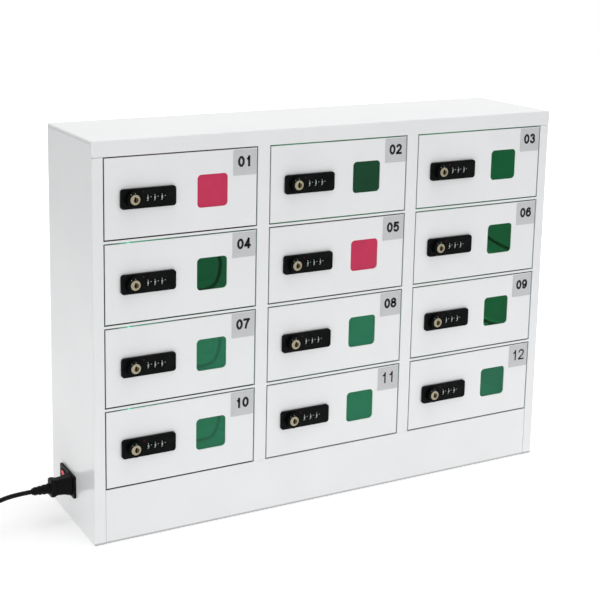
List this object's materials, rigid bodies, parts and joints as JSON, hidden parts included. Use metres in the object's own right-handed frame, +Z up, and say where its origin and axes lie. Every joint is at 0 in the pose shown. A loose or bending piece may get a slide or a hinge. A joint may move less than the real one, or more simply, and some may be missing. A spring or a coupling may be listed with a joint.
{
  "type": "phone charging locker",
  "caption": "White sheet-steel locker with rows of small hinged doors, each with a combination cam lock and a tinted window, that keeps and charges mobile phones.",
  "frame": {"origin": "on the floor under the middle of the cabinet's footprint, at the underside of its base plate", "axes": "+X to the right seen from the front, +Y from the doors to the back, +Z up"},
  "size_m": [0.9245, 0.2019, 0.515],
  "materials": {
    "white_coat": "gloss white powder coat, faint orange peel",
    "green_pane": "tinted acrylic, polished",
    "light_green_pane": "tinted acrylic, polished, lit from inside",
    "pink_pane": "tinted acrylic, polished, lit from inside",
    "black_lock": "satin black enamel with white marks",
    "black_knob": "satin black with a bright key plug",
    "lit_green_lens": "clear lens over green light",
    "cable_jacket": "matt black flexible jacket",
    "supply_case": "fine-textured black moulding",
    "black_moulding": "fine-textured black moulding",
    "red_rocker": "red translucent moulding, lit",
    "lead_jacket": "smooth black flexible jacket",
    "lead_moulding": "satin black moulding"
  },
  "bodies": {
    "cabinet": {"cabinet_wrap": "white_coat", "top_panel": "white_coat", "base_plinth": "white_coat", "compartment_rack": "white_coat", "led_light_bars": "lit_green_lens", "charging_cables": "cable_jacket", "power_supply": "supply_case", "power_inlet": "black_moulding", "mains_lead": "lead_jacket", "mains_lead_coil": "lead_jacket", "lead_ends": "lead_moulding"},
    "door_01": {"door_01": "white_coat", "window_01": "pink_pane", "lock_01": "black_lock"},
    "knob_01": {"knob_01": "black_knob"},
    "door_02": {"door_02": "white_coat", "window_02": "green_pane", "lock_02": "black_lock"},
    "knob_02": {"knob_02": "black_knob"},
    "door_03": {"door_03": "white_coat", "window_03": "green_pane", "lock_03": "black_lock"},
    "knob_03": {"knob_03": "black_knob"},
    "door_04": {"door_04": "white_coat", "window_04": "green_pane", "lock_04": "black_lock"},
    "knob_04": {"knob_04": "black_knob"},
    "door_05": {"door_05": "white_coat", "window_05": "pink_pane", "lock_05": "black_lock"},
    "knob_05": {"knob_05": "black_knob"},
    "door_06": {"door_06": "white_coat", "window_06": "green_pane", "lock_06": "black_lock"},
    "knob_06": {"knob_06": "black_knob"},
    "door_07": {"door_07": "white_coat", "window_07": "light_green_pane", "lock_07": "black_lock"},
    "knob_07": {"knob_07": "black_knob"},
    "door_08": {"door_08": "white_coat", "window_08": "light_green_pane", "lock_08": "black_lock"},
    "knob_08": {"knob_08": "black_knob"},
    "door_09": {"door_09": "white_coat", "window_09": "light_green_pane", "lock_09": "black_lock"},
    "knob_09": {"knob_09": "black_knob"},
    "door_10": {"door_10": "white_coat", "window_10": "light_green_pane", "lock_10": "black_lock"},
    "knob_10": {"knob_10": "black_knob"},
    "door_11": {"door_11": "white_coat", "window_11": "light_green_pane", "lock_11": "black_lock"},
    "knob_11": {"knob_11": "black_knob"},
    "door_12": {"door_12": "white_coat", "window_12": "light_green_pane", "lock_12": "black_lock"},
    "knob_12": {"knob_12": "black_knob"},
    "rocker": {"inlet_rocker": "red_rocker"}
  },
  "joints": [
    {"name": "door_01_hinge", "type": "hinge", "parent": "cabinet", "child": "door_01", "pos_m": [-0.1265, -0.0765, 0.44325], "axis": [0, 0, 1], "range_deg": [0, 100]},
    {"name": "knob_01_turn", "type": "hinge", "parent": "door_01", "child": "knob_01", "pos_m": [-0.293, -0.08, 0.44205], "axis": [0, 1, 0], "range_deg": [0, 90]},
    {"name": "door_02_hinge", "type": "hinge", "parent": "cabinet", "child": "door_02", "pos_m": [0.0995, -0.0765, 0.44325], "axis": [0, 0, 1], "range_deg": [0, 100]},
    {"name": "knob_02_turn", "type": "hinge", "parent": "door_02", "child": "knob_02", "pos_m": [-0.067, -0.08, 0.44205], "axis": [0, 1, 0], "range_deg": [0, 90]},
    {"name": "door_03_hinge", "type": "hinge", "parent": "cabinet", "child": "door_03", "pos_m": [0.3255, -0.0765, 0.44325], "axis": [0, 0, 1], "range_deg": [0, 100]},
    {"name": "knob_03_turn", "type": "hinge", "parent": "door_03", "child": "knob_03", "pos_m": [0.159, -0.08, 0.44205], "axis": [0, 1, 0], "range_deg": [0, 90]},
    {"name": "door_04_hinge", "type": "hinge", "parent": "cabinet", "child": "door_04", "pos_m": [-0.1265, -0.0765, 0.33675], "axis": [0, 0, 1], "range_deg": [0, 100]},
    {"name": "knob_04_turn", "type": "hinge", "parent": "door_04", "child": "knob_04", "pos_m": [-0.293, -0.08, 0.33555], "axis": [0, 1, 0], "range_deg": [0, 90]},
    {"name": "door_05_hinge", "type": "hinge", "parent": "cabinet", "child": "door_05", "pos_m": [0.0995, -0.0765, 0.33675], "axis": [0, 0, 1], "range_deg": [0, 100]},
    {"name": "knob_05_turn", "type": "hinge", "parent": "door_05", "child": "knob_05", "pos_m": [-0.067, -0.08, 0.33555], "axis": [0, 1, 0], "range_deg": [0, 90]},
    {"name": "door_06_hinge", "type": "hinge", "parent": "cabinet", "child": "door_06", "pos_m": [0.3255, -0.0765, 0.33675], "axis": [0, 0, 1], "range_deg": [0, 100]},
    {"name": "knob_06_turn", "type": "hinge", "parent": "door_06", "child": "knob_06", "pos_m": [0.159, -0.08, 0.33555], "axis": [0, 1, 0], "range_deg": [0, 90]},
    {"name": "door_07_hinge", "type": "hinge", "parent": "cabinet", "child": "door_07", "pos_m": [-0.1265, -0.0765, 0.23025], "axis": [0, 0, 1], "range_deg": [0, 100]},
    {"name": "knob_07_turn", "type": "hinge", "parent": "door_07", "child": "knob_07", "pos_m": [-0.293, -0.08, 0.22905], "axis": [0, 1, 0], "range_deg": [0, 90]},
    {"name": "door_08_hinge", "type": "hinge", "parent": "cabinet", "child": "door_08", "pos_m": [0.0995, -0.0765, 0.23025], "axis": [0, 0, 1], "range_deg": [0, 100]},
    {"name": "knob_08_turn", "type": "hinge", "parent": "door_08", "child": "knob_08", "pos_m": [-0.067, -0.08, 0.22905], "axis": [0, 1, 0], "range_deg": [0, 90]},
    {"name": "door_09_hinge", "type": "hinge", "parent": "cabinet", "child": "door_09", "pos_m": [0.3255, -0.0765, 0.23025], "axis": [0, 0, 1], "range_deg": [0, 100]},
    {"name": "knob_09_turn", "type": "hinge", "parent": "door_09", "child": "knob_09", "pos_m": [0.159, -0.08, 0.22905], "axis": [0, 1, 0], "range_deg": [0, 90]},
    {"name": "door_10_hinge", "type": "hinge", "parent": "cabinet", "child": "door_10", "pos_m": [-0.1265, -0.0765, 0.12375], "axis": [0, 0, 1], "range_deg": [0, 100]},
    {"name": "knob_10_turn", "type": "hinge", "parent": "door_10", "child": "knob_10", "pos_m": [-0.293, -0.08, 0.12255], "axis": [0, 1, 0], "range_deg": [0, 90]},
    {"name": "door_11_hinge", "type": "hinge", "parent": "cabinet", "child": "door_11", "pos_m": [0.0995, -0.0765, 0.12375], "axis": [0, 0, 1], "range_deg": [0, 100]},
    {"name": "knob_11_turn", "type": "hinge", "parent": "door_11", "child": "knob_11", "pos_m": [-0.067, -0.08, 0.12255], "axis": [0, 1, 0], "range_deg": [0, 90]},
    {"name": "door_12_hinge", "type": "hinge", "parent": "cabinet", "child": "door_12", "pos_m": [0.3255, -0.0765, 0.12375], "axis": [0, 0, 1], "range_deg": [0, 100]},
    {"name": "knob_12_turn", "type": "hinge", "parent": "door_12", "child": "knob_12", "pos_m": [0.159, -0.08, 0.12255], "axis": [0, 1, 0], "range_deg": [0, 90]},
    {"name": "inlet_rocker_tilt", "type": "hinge", "parent": "cabinet", "child": "rocker", "pos_m": [-0.344, 0.028, 0.0505], "axis": [0, -1, 0], "range_deg": [0, 12]}
  ]
}
